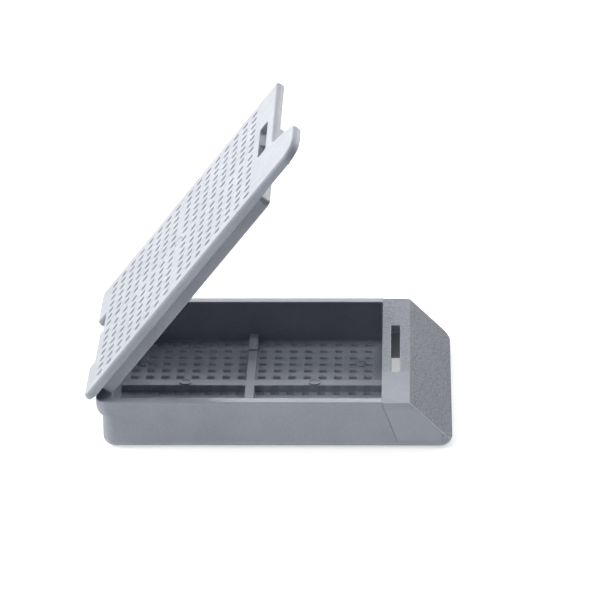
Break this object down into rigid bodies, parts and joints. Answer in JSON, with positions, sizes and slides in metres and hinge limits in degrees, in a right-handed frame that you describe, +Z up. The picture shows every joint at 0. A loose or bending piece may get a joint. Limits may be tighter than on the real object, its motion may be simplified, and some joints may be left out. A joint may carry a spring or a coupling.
{
  "type": "hinged specimen cassette",
  "caption": "Small perforated moulded tray with a sloping writing face and a perforated clip-on lid, hinged at its low end and standing open.",
  "frame": {"origin": "on the tray's underside, below the crossing of the two floor ribs, half way across the width", "axes": "+X from the hinge end to the writing face, +Y across the width, away from the lid's thumb tongue, +Z up out of the tray"},
  "size_m": [0.0424, 0.0286, 0.0377],
  "materials": {
    "tray_plastic": "satin moulded acetal, with a spark-eroded grain on the writing face",
    "lid_plastic": "satin moulded acetal"
  },
  "bodies": {
    "tray": {"base_tray": "tray_plastic"},
    "lid": {"lid": "lid_plastic"}
  },
  "joints": [
    {"name": "lid_hinge", "type": "hinge", "parent": "tray", "child": "lid", "pos_m": [-0.017, 0, 0.00495], "axis": [0, -1, 0], "range_deg": [-51.94, 128.06]}
  ]
}
